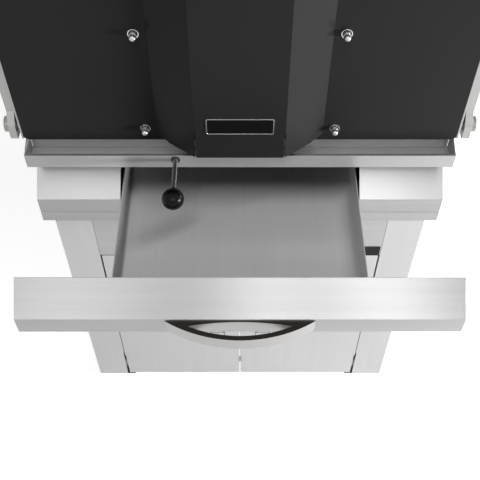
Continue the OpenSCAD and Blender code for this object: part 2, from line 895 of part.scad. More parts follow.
// Flat bar whose lower end widens forward round the pivot
module arm() {
    y0 = arm_piv_y - 5;
    y1 = y0 + arm_w;
    z0 = pivot_z - hub_drop;
    z1 = deck_top + arm_over;
    toe = arm_piv_y - hub_fore;
    profile = [[y0, pivot_z + 32], [toe + 2, pivot_z + 12], [toe, z0 + 2], [toe + 2, z0],
               [y1 - 16, z0], [y1, z0 + 14], [y1, z1 - 12], [y1 - 12, z1],
               [y0 + 12, z1], [y0, z1 - 12]];
    difference() {
        translate([arm_x + arm_t / 2, 0, 0]) across(arm_t) polygon(profile);
        rod_along_x([arm_x - EPS, arm_piv_y, pivot_z], bolt_r + fit, arm_t + 2 * EPS);
    }
}

module pusher_arm_right() {
    color(STEEL) placed() arm();
}

module pusher_arm_left() {
    color(STEEL) placed() mirror([1, 0, 0]) arm();
}

module pusher_bar() {
    color(STEEL) placed() rod_along_x([-arm_x, bar_y, bar_z], bar_r, 2 * arm_x);
}

// Plate with tines that push the loaf between the blades
module pusher_plate() {
    x1 = throat_x - 10;
    z0 = deck_top + plate_over;
    step = 2 * x1 / tines;
    color(STEEL) placed() {
        difference() {
            block([-x1, plate_y - 4, z0], [x1, plate_y + plate_t, z0 + plate_h]);
            block([-x1 - EPS, plate_y - 4 - EPS, z0 - EPS], [x1 + EPS, plate_y, bar_z - bar_r - 3]);
            rod_along_x([-x1 - EPS, bar_y, bar_z], bar_r, 2 * x1 + 2 * EPS);
        }
        for (i = [0:tines - 1])
            block([-x1 + (i + 0.5) * step - tine_t / 2, plate_y + plate_t, z0],
                  [-x1 + (i + 0.5) * step + tine_t / 2, plate_y + plate_t + tine_l, z0 + plate_h - 10]);
    }
}

// Grip tube on two posts in front of the cross bar
module pusher_grip() {
    y = bar_y - grip_out;
    color(RUBBER) placed() {
        rod_along_x([-grip_l / 2, y, bar_z], grip_r, grip_l);
        for (s = [-1, 1])
            difference() {
                rod_along_y([s * (grip_l / 2 - 30), y, bar_z], 6, grip_out - bar_r + 3);
                rod_along_x([-grip_l, bar_y, bar_z], bar_r, 2 * grip_l);
            }
    }
}

// ---- Deck and blade towers ----
module deck() {
    x1 = upper_w / 2;
    slot_x = guide_x + guide_step + 12;
    color(STEEL) placed() difference() {
        block([-x1, wall_y, upper_top], [x1, base_d, deck_top]);
        block([-slot_x, front_blade_y - 14, upper_top - EPS],
              [slot_x, rear_blade_y + 14, deck_top + EPS]);
    }
}

module tower() {
    x0 = throat_x;
    x1 = throat_x + tower_w;
    y0 = throat_mid_y - tower_d / 2;
    y1 = throat_mid_y + tower_d / 2;
    difference() {
        block([x0, y0, deck_top], [x1, y1, tower_top]);
        block([x0 + sheet, y0 + sheet, deck_top - EPS],
              [x1 - sheet, y1 - sheet, tower_top + EPS]);
    }
}

module blade_tower_right() {
    color(STEEL) placed() tower();
}

module blade_tower_left() {
    color(STEEL) placed() mirror([1, 0, 0]) tower();
}

// Hood with sloping shoulders over the upper cross bars
module top_hood() {
    w = 2 * (throat_x + tower_w);
    y0 = throat_mid_y - tower_d / 2;
    y1 = throat_mid_y + tower_d / 2;
    z1 = tower_top + hood_h;
    lean = 12;
    outline = [[y0, tower_top], [y0, z1 - lean], [y0 + lean, z1], [y1 - lean, z1],
               [y1, z1 - lean], [y1, tower_top]];
    color(BLACK) placed() {
        across(w) folded(outline, -sheet);
        both_sides()
            translate([w / 2 - sheet / 2, 0, 0]) across(sheet) polygon(outline);
    }
}

// Bronze blocks that guide the rods inside the towers
module guide_blocks() {
    x0 = throat_x + sheet;
    x1 = throat_x + tower_w - sheet;
    y0 = front_blade_y - 14;
    y1 = rear_blade_y + 14;
    color(BRONZE) placed() both_sides()
        for (z = [deck_top + 16, tower_top - block_h - 6])
            difference() {
                block([x0, y0, z], [x1, y1, z + block_h]);
                rod_along_z([guide_x, front_blade_y, z - EPS], guide_r + fit, block_h + 2 * EPS);
                rod_along_z([guide_x + guide_step, rear_blade_y, z - EPS], guide_r + fit,
                            block_h + 2 * EPS);
            }
}

// Two cross bars, two guide rods and a push rod
module blade_frame(y, rod_at) {
    d = frame_bar[0] / 2;
    h = frame_bar[1];
    w = rod_at + 12;
    z1 = low_bar_z + h / 2;
    z2 = z1 + blade_h;
    block([-w, y - d, z1 - h], [w, y + d, z1]);
    block([-w, y - d, z2], [w, y + d, z2 + h]);
    for (s = [-1, 1])
        rod_along_z([s * rod_at, y, z1 - EPS], guide_r, blade_h + 2 * EPS);
    rod_along_z([0, y, z1 - h - push_l], push_r, push_l + EPS);
}

module front_frame() {
    color(STEEL_DARK) placed() blade_frame(front_blade_y, guide_x);
}

module rear_frame() {
    color(STEEL_DARK) placed() blade_frame(rear_blade_y, guide_x + guide_step);
}

// n thin blades a double slice apart, bevelled towards the loaf
module blade_row(y, n) {
    z1 = low_bar_z + frame_bar[1] / 2;
    for (i = [0:n - 1])
        translate([(i - (n - 1) / 2) * 2 * slice, y - blade_d / 2, z1])
            linear_extrude(blade_h)
                polygon([[0, 0], [blade_t / 2, 3], [blade_t / 2, blade_d],
                         [-blade_t / 2, blade_d], [-blade_t / 2, 3]]);
}

module front_blades() {
    color(STEEL) placed() blade_row(front_blade_y, blades);
}

module rear_blades() {
    color(STEEL) placed() blade_row(rear_blade_y, blades - 1);
}

// Angles that keep the loaf and the slices in line
module bread_fences() {
    x0 = throat_x;
    y1 = throat_mid_y - tower_d / 2 - CLEAR;
    y2 = throat_mid_y + tower_d / 2 + CLEAR;
    color(STEEL) placed() both_sides()
        for (y = [[wall_y + 12, y1], [y2, base_d - 30]]) {
            block([x0, y[0], deck_top], [x0 + sheet, y[1], deck_top + fence_h]);
            block([x0, y[0], deck_top], [x0 + 22, y[1], deck_top + sheet]);
        }
}

// ---- Drive ----
// Closed case; the push rods and the input shaft enter it
module crank_case() {
    y0 = throat_mid_y - crank_box[1] / 2;
    y1 = throat_mid_y + crank_box[1] / 2;
    x1 = crank_box[0] / 2;
    color(STEEL_DARK) placed() difference() {
        union() {
            block([-x1, y0, crank_z], [x1, y1, crank_top]);
            rod_along_y([0, y0 - 14, shaft_z], 24, 15);
        }
        for (y = [front_blade_y, rear_blade_y])
            rod_along_z([0, y, crank_top - push_l + 6], push_r + fit, push_l);
        rod_along_y([0, y0 - 15, shaft_z], shaft_r + fit, 30);
    }
}

// Channel across the housing under the crank case
module drive_bracket() {
    x1 = upper_w / 2 - sheet;
    y0 = throat_mid_y - 55;
    y1 = throat_mid_y + 55;
    color(STEEL_DARK) placed() across(2 * x1)
        folded([[y0, crank_z - 20], [y0, crank_z], [y1, crank_z], [y1, crank_z - 20]], -4);
}

module input_shaft() {
    y0 = throat_mid_y - crank_box[1] / 2;
    color(STEEL) placed()
        rod_along_y([0, pulley_y - 4, shaft_z], shaft_r, y0 + 14 - pulley_y + 4);
}

// Ribbed pulley made as one turned profile about its axis
module pulley(r, bore, w) {
    ribs = 5;
    pitch = w / (ribs + 1);
    rotate([-90, 0, 0]) rotate_extrude($fn = 72)
        polygon(concat(
            [[bore, 0], [r, 0]],
            [for (i = [0:ribs - 1], k = [0:2])
                [r - (k == 1 ? 2.5 : 0), pitch * (i + 0.5 + k / 2)]],
            [[r, w], [bore, w]]));
}

module driven_pulley() {
    color(STEEL_DARK) placed() translate([0, pulley_y, shaft_z]) difference() {
        pulley(pulley_r, shaft_r, pulley_w);
        for (a = [0:60:300])
            rotate([0, a, 0]) rod_along_y([pulley_r * 0.6, -EPS, 0], 13, pulley_w + 2 * EPS);
    }
}

module motor() {
    y0 = pulley_y + pulley_w + 16;
    color(BLACK) placed() difference() {
        union() {
            rod_along_y([0, y0, motor_z], motor_r - 4, motor_l);
            rod_along_y([0, y0 + 20, motor_z], motor_r, motor_l - 60);
            block([-20, y0 + 50, motor_z + motor_r - 10], [50, y0 + 110, motor_z + motor_r + 12]);
        }
        rod_along_y([0, y0 - EPS, motor_z], 9 + fit, 24);
    }
}

// Saddle that carries the motor on the base housing
module motor_cradle() {
    y0 = pulley_y + pulley_w + 56;
    color(STEEL_DARK) placed() difference() {
        union() {
            block([-90, y0, base_top], [90, y0 + 70, base_top + 5]);
            block([-50, y0 + 10, base_top], [50, y0 + 60, motor_z - motor_r * 0.6]);
        }
        rod_along_y([0, y0 - EPS, motor_z], motor_r, 80);
    }
}

module motor_pulley() {
    color(STEEL_DARK) placed() {
        translate([0, pulley_y, motor_z]) pulley(motor_pulley_r, 9, pulley_w);
        rod_along_y([0, pulley_y - 4, motor_z], 9, pulley_w + 34);
    }
}

// Loop round both pulleys
module belt_loop(s) {
    hull() {
        translate([0, shaft_z]) circle(pulley_r + s, $fn = 64);
        translate([0, motor_z]) circle(motor_pulley_r + s, $fn = 48);
    }
}

module drive_belt() {
    color(RUBBER) placed() translate([0, pulley_y + pulley_w - 1, 0]) rotate([90, 0, 0])
        linear_extrude(pulley_w - 2) difference() {
            belt_loop(CLEAR + belt_t);
            belt_loop(CLEAR);
        }
}

// ---- Rear panel and controls ----
module rear_panel() {
    x1 = service_w / 2 + 15;
    z0 = skirt_z + 15;
    z1 = skirt_z + service_h + 45;
    color(STEEL) placed() difference() {
        block([-x1, base_d, z0], [x1, base_d + sheet, z1]);
        for (s = [-1, 1], i = [0:7])
            block([s * 130 - 60, base_d - EPS, z0 + 60 + i * 20],
                  [s * 130 + 60, base_d + sheet + EPS, z0 + 66 + i * 20]);
        screw_places() rod_along_y([0, -EPS, 0], 2.5, sheet + 2 * EPS);
    }
}

module screw_places() {
    for (x = [-1, 0, 1], z = [0, 1])
        translate([x * (service_w / 2 + 7), base_d, skirt_z + 22 + z * (service_h + 16)])
            children();
}

module panel_screws() {
    color(STEEL_DARK) placed() screw_places()
        rod_along_y([0, sheet, 0], 4.5, 2);
}

module button_places(i) {
    translate([upper_w / 2 + switch_size[0], switch_y + switch_size[1] / 2,
               switch_z + switch_size[2] * (i == 0 ? 0.7 : 0.3)])
        rotate([0, 90, 0]) children();
}

module switch_box() {
    x0 = upper_w / 2;
    x1 = x0 + switch_size[0];
    color(BLACK) placed() difference() {
        block([x0, switch_y, switch_z], [x1, switch_y + switch_size[1], switch_z + switch_size[2]]);
        block([x0 - EPS, switch_y + 3, switch_z + 3],
              [x1 - 3, switch_y + switch_size[1] - 3, switch_z + switch_size[2] - 3]);
        for (i = [0, 1])
            button_places(i) translate([0, 0, -10]) cylinder(r = button_r + fit, h = 20);
    }
}

// Cap, collar and stem of one push button
module button(i) {
    placed() button_places(i) {
        translate([0, 0, -8]) cylinder(r = button_r, h = 8 + button_h);
        translate([0, 0, -12]) cylinder(r = button_r + 2, h = 8.5);
    }
}

module start_button() {
    color(GREEN) button(0);
}

module stop_button() {
    color(RED) button(1);
}

// Gland where the supply lead enters; the lead itself isn't part of this
module cable_gland() {
    color(RUBBER) placed() translate([250, base_d, cab_h + 40]) difference() {
        union() {
            rotate([-90, 0, 0]) cylinder(r = 13, h = 6, $fn = 6);
            rotate([-90, 0, 0]) cylinder(r1 = 11, r2 = 8, h = gland_l);
        }
        rotate([-90, 0, 0]) cylinder(r = 5, h = gland_l + EPS);
    }
}

cabinet_side_left();
cabinet_side_right();
cabinet_back();
cabinet_fascia();
cabinet_top();
cabinet_floor();
cabinet_shelf();
levelling_feet();
hinge_brackets();
hinge_pins();
door_left();
door_right();
door_pull_left();
door_pull_right();
door_catch();
base_housing();
drawer_rails();
drawer_box();
drawer_front();
drawer_handle();
crumb_trough();
upper_housing();
front_cover();
centre_cover();
cover_studs();
cover_spacers();
cover_washers();
release_rod();
ball_knob();
rod_guide();
pivot_bolts();
pusher_arm_left();
pusher_arm_right();
pusher_bar();
pusher_plate();
pusher_grip();
deck();
blade_tower_left();
blade_tower_right();
top_hood();
guide_blocks();
front_frame();
front_blades();
rear_frame();
rear_blades();
bread_fences();
crank_case();
drive_bracket();
input_shaft();
driven_pulley();
motor();
motor_cradle();
motor_pulley();
drive_belt();
rear_panel();
panel_screws();
switch_box();
start_button();
stop_button();
cable_gland();
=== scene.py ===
# %% [markdown]
# # A bread slicer on a two-door cabinet
#
# This lesson dresses a floor-standing bread slicer: brushed stainless sheet, a satin black front
# cover on studs, a drawer with a bow handle, and the slicing head above. The solid parts come from
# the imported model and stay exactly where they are. Blender gives them their finishes, and adds the
# thin things that a fitter adds last: cap nuts, bare plates, seams, lips and hems, blade teeth,
# grip ribs and the hoods on the rear slots.

# %% Load the fixed frame
import math

import bmesh
import bpy
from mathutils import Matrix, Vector


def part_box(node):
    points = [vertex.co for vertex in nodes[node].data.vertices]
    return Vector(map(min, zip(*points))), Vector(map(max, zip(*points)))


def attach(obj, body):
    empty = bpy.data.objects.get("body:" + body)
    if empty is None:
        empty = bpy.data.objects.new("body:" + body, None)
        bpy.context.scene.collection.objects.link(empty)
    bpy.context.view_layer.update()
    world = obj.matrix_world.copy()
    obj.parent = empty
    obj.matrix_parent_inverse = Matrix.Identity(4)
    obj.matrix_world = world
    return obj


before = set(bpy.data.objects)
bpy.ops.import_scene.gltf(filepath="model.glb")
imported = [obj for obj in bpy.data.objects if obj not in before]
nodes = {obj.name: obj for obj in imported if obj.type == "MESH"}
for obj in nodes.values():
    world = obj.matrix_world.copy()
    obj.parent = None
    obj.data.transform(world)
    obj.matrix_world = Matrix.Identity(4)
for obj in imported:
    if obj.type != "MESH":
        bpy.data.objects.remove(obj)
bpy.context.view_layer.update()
scene = bpy.context.scene
scene.view_settings.view_transform = "Standard"

# %% [markdown]
# ## The camera
#
# The slicer is seen from above and in front, as by someone who leans over the drawer. The camera
# stands a metre in front of the machine at 1.67 m and looks down 52.6 degrees. A lens of 59 mm on
# a 36 mm sensor keeps the upright edges converging gently towards the floor.

# %% Place the camera
camera = bpy.data.objects.new("camera", bpy.data.cameras.new("camera"))
camera.data.sensor_width = 36.0
camera.data.lens = 59.03
camera.location = (0.0, -1.0507, 1.673)
camera.rotation_euler = (math.radians(37.4), 0.0, 0.0)
camera.data.clip_start = 0.02
scene.collection.objects.link(camera)
scene.camera = camera
print("camera at", [round(v, 3) for v in camera.location])

# %% [markdown]
# ## A helper for nodes, and colours as they are written
#
# A material is a small graph. One helper adds a node, sets it and links it, so each finish reads as
# a short list. Colours are written as the hex values that a paint chart gives, and one function
# turns them into the linear values that a shader works with. Another makes a colour a little paler
# or darker, for the two ends of a pattern.


# %% Node and colour helpers
def linear(hex_value):
    channels = [int(hex_value[i:i + 2], 16) / 255 for i in (1, 3, 5)]
    return [c / 12.92 if c <= 0.04045 else ((c + 0.055) / 1.055) ** 2.4 for c in channels] + [1.0]


def tint(hex_value, change):
    # the same colour, paler for a change above 0 and darker below
    return [min(1, c * (1 + change)) for c in linear(hex_value)[:3]] + [1]


def feed(tree, node, inputs):
    for name, value in inputs.items():
        if isinstance(value, bpy.types.NodeSocket):
            tree.links.new(value, node.inputs[name])
        else:
            node.inputs[name].default_value = value


def add(tree, kind, inputs=None, **settings):
    node = tree.nodes.new(kind)
    for name, value in settings.items():
        setattr(node, name, value)
    feed(tree, node, inputs or {})
    return node


def new_material(name):
    material = bpy.data.materials.new(name)
    material.use_nodes = True
    tree = material.node_tree
    tree.nodes.clear()
    shader = add(tree, "ShaderNodeBsdfPrincipled")
    add(tree, "ShaderNodeOutputMaterial", {"Surface": shader.outputs["BSDF"]})
    return material, tree, shader


print("mid grey", [round(v, 3) for v in linear("#808080")])

# %% [markdown]
# ## Studio
#
# Brushed metal has no colour of its own: it shows the room. So the room is made first. The floor
# and the sky are white to the camera and in reflections, and the floor keeps a soft shadow.
#
# A low, flat lamp on the right and a weak one on the left make the right side of every sheet a
# step lighter than the left. A long lamp above and in front lights the upward faces. It is left out
# of reflections, so it can't burn a white line into the steel. Three tall strips do the
# opposite: only reflections show them, and they draw the light and dark bands on sloping sheets.


# %% Floor, sky and lamps
def white_in_view(tree, background, strength):
    # one strength for lighting, another where the camera, metal or glass looks at it
    paths = add(tree, "ShaderNodeLightPath")
    seen = paths.outputs["Is Camera Ray"]
    for kind in ("Is Glossy Ray", "Is Transmission Ray"):
        seen = add(tree, "ShaderNodeMath", {0: seen, 1: paths.outputs[kind]},
                   operation="MAXIMUM").outputs[0]
    return add(tree, "ShaderNodeMix", {0: seen, 2: background, 3: strength},
               data_type="FLOAT").outputs[0]


world = bpy.data.worlds.new("studio")
scene.world = world
world.use_nodes = True
sky = world.node_tree
sky.nodes.clear()
light = add(sky, "ShaderNodeBackground", {"Color": (1, 1, 1, 1),
                                          "Strength": white_in_view(sky, 0.035, 1.0)})
add(sky, "ShaderNodeOutputWorld", {"Surface": light.outputs[0]})

bpy.ops.mesh.primitive_plane_add(size=14, location=(0, 0, 0))
floor = bpy.context.object
floor.name = "floor"
paper, tree, shader = new_material("matt_white_paper")
where = add(tree, "ShaderNodeTexCoord")
far = add(tree, "ShaderNodeVectorMath", {0: where.outputs["Object"]}, operation="LENGTH")
# the paper glows a little less near the machine, where its shadow lies
glow = add(tree, "ShaderNodeMapRange", {"Value": far.outputs["Value"], "From Min": 1.0,
                                        "From Max": 4.0, "To Min": 0.8, "To Max": 1.0})
feed(tree, shader, {"Base Color": linear("#e6e6e6"), "Roughness": 0.9, "Specular IOR Level": 0.1,
                    "Emission Color": (1, 1, 1, 1),
                    "Emission Strength": white_in_view(tree, 0.0, glow.outputs[0])})
floor.data.materials.append(paper)


def soft_lamp(name, place, target, size, power):
    lamp = bpy.data.objects.new(name, bpy.data.lights.new(name, "AREA"))
    lamp.data.shape = "RECTANGLE"
    lamp.data.size, lamp.data.size_y = size
    lamp.data.energy = power
    lamp.location = place
    aim = Vector(target) - Vector(place)
    lamp.rotation_euler = aim.to_track_quat("-Z", "Y").to_euler()
    scene.collection.objects.link(lamp)
    return lamp


soft_lamp("lamp_right", (2.0, -0.9, 0.78), (0, -0.1, 0.8), (0.7, 0.2), 58)
soft_lamp("lamp_left", (-2.4, -1.7, 1.6), (0, 0, 0.7), (1.6, 1.6), 1.5)
lamp_above = soft_lamp("lamp_above", (0.4, -0.98, 3.2), (0, -0.3, 0.6), (2.6, 0.3), 41)
lamp_above.visible_glossy = False
for name, x, width, power in (("strip_left", -1.0, 0.8, 8.5), ("strip_middle", 0.15, 0.3, 7.0),
                              ("strip_right", 0.85, 0.45, 11.5)):
    strip = soft_lamp(name, (x, -2.6, 3.0), (0, -0.4, 0.65), (width, 1.6), power)
    strip.visible_diffuse = False

# %% [markdown]
# ## Brushed stainless steel
#
# The sheets are grade 304 stainless, brushed with a belt of about 240 grit. The belt leaves fine
# parallel scratches along one direction, so light spreads across them and stays sharp along them.
# A noise that is stretched along the belt's direction gives both the streaks and the faint bands.
# A real scratch is 0.05 mm wide, which no picture of this size shows, so the streaks are drawn
# about 1.4 mm wide and 160 mm long. Each sheet names the direction in which it was brushed. A
# sheet that is finely blasted before it is brushed is duller: part of its light is scattered.


# %% Brushed steel
def streaks(tree, along, width, length, detail=3.0):
    # noise drawn out along one axis: width and length of one streak in millimetres
    where = add(tree, "ShaderNodeTexCoord")
    scale = [1000 / width] * 3
    scale["XYZ".index(along)] = 1000 / length
    turned = add(tree, "ShaderNodeMapping", {"Vector": where.outputs["Object"], "Scale": scale})
    return add(tree, "ShaderNodeTexNoise",
               {"Vector": turned.outputs[0], "Scale": 1.0, "Detail": detail, "Roughness": 0.6})


def brushed_steel(name, hex_value, along, rough=0.3, cast=0.03, dull=0.0):
    # cast: how far the bands stray from the colour. dull: the share of scattered light
    material, tree, shader = new_material(name)
    fine = streaks(tree, along, 1.4, 160)
    broad = streaks(tree, along, 14, 900, detail=1.0)
    tone = add(tree, "ShaderNodeMix", {0: 0.4, 2: fine.outputs["Fac"], 3: broad.outputs["Fac"]},
               data_type="FLOAT")
    spread = add(tree, "ShaderNodeMapRange", {"Value": tone.outputs[0], "From Min": 0.35,
                                              "From Max": 0.65})
    colour = add(tree, "ShaderNodeMix", {0: spread.outputs[0], 6: tint(hex_value, -cast),
                                         7: tint(hex_value, cast)}, data_type="RGBA")
    rougher = add(tree, "ShaderNodeMapRange", {"Value": fine.outputs["Fac"], "From Min": 0.3,
                                               "From Max": 0.7, "To Min": rough - 0.02,
                                               "To Max": rough + 0.02})
    edge = add(tree, "ShaderNodeBevel", {"Radius": 0.0009}, samples=4)
    bump = add(tree, "ShaderNodeBump", {"Strength": 0.04, "Distance": 0.0003,
                                        "Height": fine.outputs["Fac"],
                                        "Normal": edge.outputs[0]})
    # the small parts give a face that looks along the grain a direction too
    lay = add(tree, "ShaderNodeCombineXYZ", {"X": 0.02, "Y": 0.03, "Z": 0.025, along: 1.0})
    grain = add(tree, "ShaderNodeVectorTransform", {"Vector": lay.outputs[0]},
                vector_type="VECTOR", convert_from="OBJECT", convert_to="WORLD")
    feed(tree, shader, {"Base Color": colour.outputs[2], "Roughness": rougher.outputs[0],
                        "Normal": bump.outputs[0], "Tangent": grain.outputs[0],
                        "Anisotropic": 0.6, "Anisotropic Rotation": 0.25,
                        "Metallic": 1.0 - dull, "Specular IOR Level": 0.5})
    return material


# %% [markdown]
# ## Parts of a sheet that look different
#
# One sheet is not one grey where light falls on it unevenly, so here some greys are painted light and
# painted shade: a dark painted line on a lip's top, a band in shade and the inside of a trough beside
# its lip painted paler, a sloping front painted lighter, and faces in shade painted darker. Such a
# part could be cut out and given a material of its own, but a imported part's mesh stays as it is. So
# a mask finds the part instead, by how far a face looks along an axis or by where it lies. Where two
# limits are given, both have to hold. The mask fades in between two values, so it leaves no hard
# line.


# %% Recolour a part of a sheet
MEASURED = {"faces": ("ShaderNodeNewGeometry", "True Normal"),
            "lies": ("ShaderNodeTexCoord", "Object")}


def within(tree, what, axis, none, full):
    # a mask that is 0 at the first value of what is measured, and 1 at the second
    kind, output = MEASURED[what]
    parts = add(tree, "ShaderNodeSeparateXYZ", {0: add(tree, kind).outputs[output]})
    return add(tree, "ShaderNodeMapRange", {"Value": parts.outputs[axis], "From Min": none,
                                            "From Max": full}).outputs[0]


def recolour(material, hex_value, *limits):
    tree = material.node_tree
    shader = next(n for n in tree.nodes if n.type == "BSDF_PRINCIPLED")
    own = shader.inputs["Base Color"].links[0].from_socket
    mask = 1.0
    for limit in limits:
        mask = add(tree, "ShaderNodeMath", {0: mask, 1: within(tree, *limit)},
                   operation="MULTIPLY").outputs[0]
    mixed = add(tree, "ShaderNodeMix", {0: mask, 6: own, 7: linear(hex_value)}, data_type="RGBA")
    feed(tree, shader, {"Base Color": mixed.outputs[2]})


# %% The steels of the machine
# long level streaks with clear bands: sheet that is folded across
steel_x = brushed_steel("stainless_brushed_across", "#a4a4a4", "X", cast=0.055, dull=0.3)

# blasted and brushed along the drawer's travel: pale and soft, with painted shade on faces that look
# right, such as the drawer's left inner wall
steel_y = brushed_steel("stainless_brushed_front_to_back", "#dcdcdc", "Y", rough=0.34, dull=0.78)
recolour(steel_y, "#949494", ("faces", "X", 0.5, 0.8))

# upright streaks with a soft sheen: doors, stiles and towers
steel_z = brushed_steel("stainless_brushed_upright", "#b3b3b3", "Z", rough=0.34, dull=0.28)

# a darker sheet whose sloping front is painted paler: painted light on the slope that faces up
base_steel = brushed_steel("stainless_brushed_base", "#9e9e9e", "X", cast=0.055, dull=0.3)
recolour(base_steel, "#b6b6b6", ("faces", "Z", 0.6, 0.75))

# drawn sheet with a satin sheen. Its colour carries painted light and shade: a dark painted line on
# the lip's top, painted light on the inside below the lip, and a near-black painted shade underneath
trough_steel = brushed_steel("stainless_drawn_trough", "#b0b0b0", "X", rough=0.36, dull=0.6)
recolour(trough_steel, "#8c8c8c", ("faces", "Z", 0.85, 0.95), ("lies", "Z", 0.730, 0.735))
recolour(trough_steel, "#dedede", ("lies", "Z", 0.716, 0.715))
recolour(trough_steel, "#1e1e1e", ("faces", "Z", -0.3, -0.6))

# sheet with a band of painted light along the foot of its front, where it lies in shade under the
# cover
housing_steel = brushed_steel("stainless_housing_painted_light", "#a4a4a4", "X", dull=0.55)
recolour(housing_steel, "#fafafa", ("faces", "Y", -0.5, -0.8), ("lies", "Z", 0.764, 0.760))
print("steels", [m.name for m in (steel_x, steel_y, steel_z, base_steel, trough_steel,
                                  housing_steel)])

# %% [markdown]
# ## Plain metals
#
# Rods, bolts and blades are not brushed in one direction: they are turned, ground, plated or cast.
# One recipe serves them all, with a cloudy noise in place of streaks. Its scale is the size of the
# mottle that each process leaves, in millimetres.


# %% Turned, plated and cast metals
def cloudy(tree, size):
    where = add(tree, "ShaderNodeTexCoord")
    return add(tree, "ShaderNodeTexNoise", {"Vector": where.outputs["Object"],
                                            "Scale": 1000 / size, "Detail": 3.0})


def mottled(tree, shader, hex_value, mottle, contrast, rough, swing, dent, depth, edge):
    # colour, roughness and bump that follow one cloudy noise, with edges slightly broken
    cloud = cloudy(tree, mottle)
    colour = add(tree, "ShaderNodeMix", {0: cloud.outputs["Fac"], 6: tint(hex_value, -contrast),
                                         7: tint(hex_value, contrast)}, data_type="RGBA")
    rougher = add(tree, "ShaderNodeMapRange", {"Value": cloud.outputs["Fac"], "From Min": 0.3,
                                               "From Max": 0.7, "To Min": rough * (1 - swing),
                                               "To Max": rough * (1 + swing)})
    soft = add(tree, "ShaderNodeBevel", {"Radius": edge}, samples=4)
    bump = add(tree, "ShaderNodeBump", {"Strength": dent, "Distance": depth,
                                        "Height": cloud.outputs["Fac"],
                                        "Normal": soft.outputs[0]})
    feed(tree, shader, {"Base Color": colour.outputs[2], "Roughness": rougher.outputs[0],
                        "Normal": bump.outputs[0]})


def plain_metal(name, hex_value, rough, mottle=6.0, contrast=0.05, dent=0.03, edge=0.0004):
    material, tree, shader = new_material(name)
    mottled(tree, shader, hex_value, mottle, contrast, rough, 0.15, dent, 0.0005, edge)
    feed(tree, shader, {"Metallic": 1.0})
    return material


# a near mirror with hardly any mottle
chrome = plain_metal("hard_chrome_rod", "#dcdcdc", 0.08, mottle=20, contrast=0.02, dent=0.0)
# pale and softly shining, with a fine mottle
zinc = plain_metal("bright_zinc_plate", "#cfd0cf", 0.24, mottle=3)
# dark and shining, warm in tone: painted shade for the necks of the cap nuts
painted_shade_neck_metal = plain_metal("painted_shade_dark_metal", "#3c3a38", 0.22, mottle=10, contrast=0.03,
                           dent=0.0)
# dark with a dull, oily sheen; it also paints shade on the hinge brackets and along the pulls
dark_steel_and_shade = plain_metal("blackened_steel_and_painted_shade", "#4a4846", 0.35, mottle=4)
# bright and cool, with fine grinding marks that blur into a mottle
blade_steel = plain_metal("ground_blade_steel", "#d2d4d6", 0.2, mottle=2)
# a sheared edge that was polished: it catches light as a white line
bright_edge = plain_metal("polished_edge", "#f4f4f4", 0.15, mottle=20, contrast=0.01, dent=0.0)
# grey and even, as it comes from the mill
mill_steel = plain_metal("mill_finish_steel", "#aeb0b0", 0.42, mottle=10)
# tumbled in stones: satin all over, without a direction
arm_steel = plain_metal("tumbled_stainless_arm", "#9a9a98", 0.36, mottle=5)
# the same for bolt heads, a little darker and duller
bolt_steel = plain_metal("tumbled_bolt_head", "#8a8a88", 0.42, mottle=4)
# ground round: smooth, with a broad soft highlight
rod_steel = plain_metal("ground_rod", "#b4b4b2", 0.32, mottle=3, dent=0.0)
# rough and dark, with the grain of the moulding sand
cast_iron = plain_metal("sand_cast_iron", "#6b6d6e", 0.6, mottle=2.5, contrast=0.12, dent=0.5,
                        edge=0.0012)
print("metals", [m.name for m in (chrome, zinc, painted_shade_neck_metal, dark_steel_and_shade, blade_steel, bright_edge,
                                  mill_steel, arm_steel, bolt_steel, rod_steel, cast_iron)])

# %% [markdown]
# ## The bow handle
#
# The bar of the handle is brushed on its faces, and its top and bottom are painted near black: a
# painted reflection of the black cover above. One material does both: the height part of the true
# normal says how far a face looks up or down, and that picks the colour.


# %% Handle steel
def two_faced(name, face_hex, painted_reflection_hex, rough):
    material, tree, shader = new_material(name)
    normal = add(tree, "ShaderNodeSeparateXYZ",
                 {0: add(tree, "ShaderNodeNewGeometry").outputs["True Normal"]})
    upward = add(tree, "ShaderNodeMath", {0: normal.outputs["Z"]}, operation="ABSOLUTE")
    edge = add(tree, "ShaderNodeMapRange", {"Value": upward.outputs[0], "From Min": 0.6,
                                            "From Max": 0.8})
    fine = streaks(tree, "X", 1.2, 90)
    tone = add(tree, "ShaderNodeMix", {0: fine.outputs["Fac"], 6: tint(face_hex, -0.06),
                                       7: tint(face_hex, 0.06)}, data_type="RGBA")
    # faces that look up or down take the painted reflection
    colour = add(tree, "ShaderNodeMix", {0: edge.outputs[0], 6: tone.outputs[2],
                                         7: linear(painted_reflection_hex)}, data_type="RGBA")
    soft = add(tree, "ShaderNodeBevel", {"Radius": 0.0006}, samples=4)
    feed(tree, shader, {"Base Color": colour.outputs[2], "Normal": soft.outputs[0],
                        "Metallic": 0.9, "Roughness": rough})
    return material


# bright brushed faces, with top and bottom painted near black as a painted reflection
handle_steel = two_faced("brushed_bar_with_dark_edges", "#a3a2a1", "#3a3836", 0.32)
print("handle", handle_steel.name)

# %% [markdown]
# ## Paint, plastic and rubber
#
# The front cover is steel sheet with a satin black powder coat. Powder melts into a faint orange
# peel, about 3 mm from bump to bump, which softens what it reflects: a stud beside a slanted face
# shows as a dark smudge, and the room only as a slow change of grey. Moulded plastic has a fine
# spark-eroded grain, and rubber is nearly matt. All of them are dielectrics, so they differ in
# colour, roughness and grain, and share one recipe.


# %% Coated and moulded finishes
def coated(name, hex_value, rough, grain=1.0, dent=0.05, shine=0.5, speck=0.08):
    material, tree, shader = new_material(name)
    mottled(tree, shader, hex_value, grain, speck, rough, 0.1, dent, 0.0003, 0.0006)
    feed(tree, shader, {"IOR": 1.5, "Specular IOR Level": shine})
    return material


